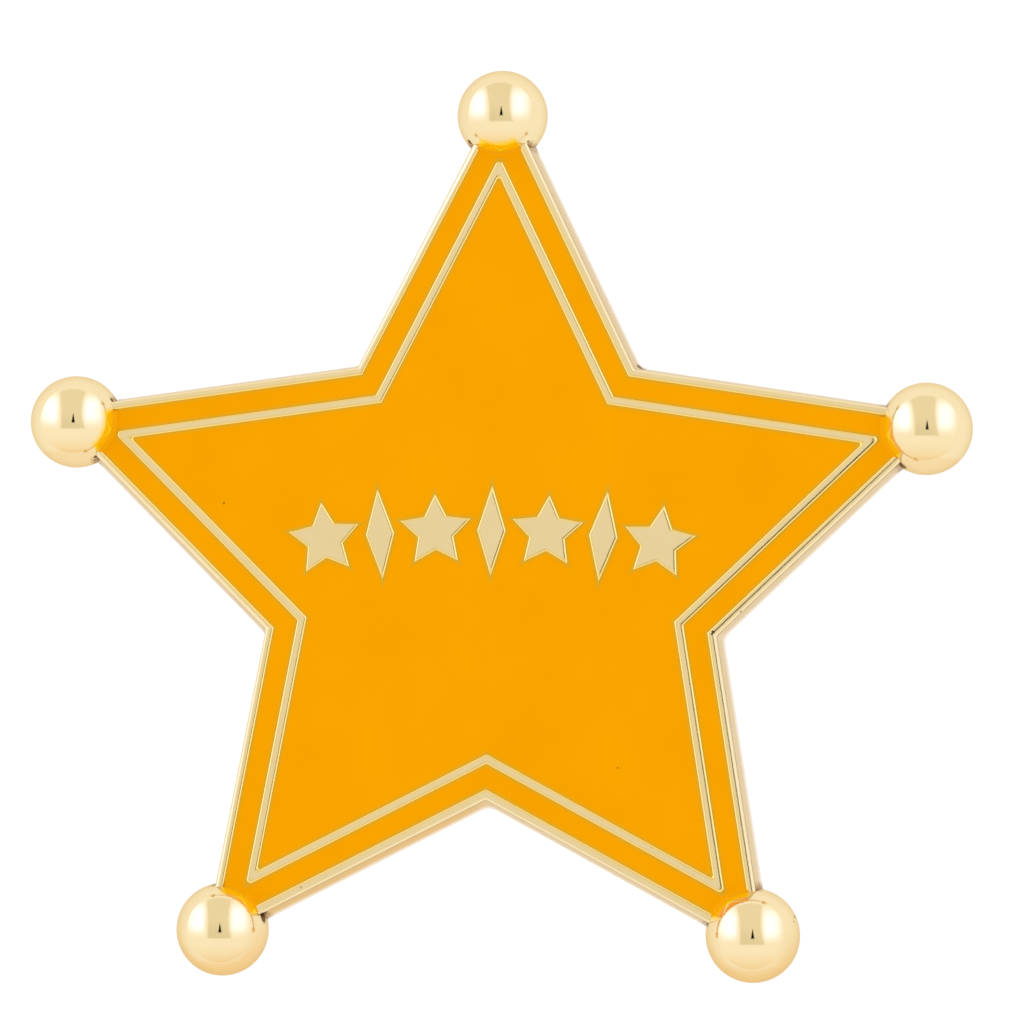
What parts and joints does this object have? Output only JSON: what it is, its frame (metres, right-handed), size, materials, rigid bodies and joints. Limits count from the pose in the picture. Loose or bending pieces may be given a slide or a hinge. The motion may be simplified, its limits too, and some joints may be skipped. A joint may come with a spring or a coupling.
{
  "type": "sheriff star badge",
  "caption": "Star badge with ball tips, raised rim and inner line, glossy enamel inlays, an arched row of small raised ornaments and a plain bar pin on its back.",
  "frame": {"origin": "middle of the bounding box, on the surface that the badge lies on face up", "axes": "+Z out of the face, +Y to the top point, +X to the right of someone who looks at the face"},
  "size_m": [0.074, 0.0708, 0.0072],
  "materials": {
    "plated_metal": "polished pale gold plating on a casting",
    "enamel": "glossy orange-yellow enamel",
    "pin_metal": "plain gold plating, slightly dull"
  },
  "bodies": {
    "root": {"star_body": "plated_metal", "enamel_border": "enamel", "enamel_field": "enamel", "pin_back": "pin_metal"}
  },
  "joints": []
}
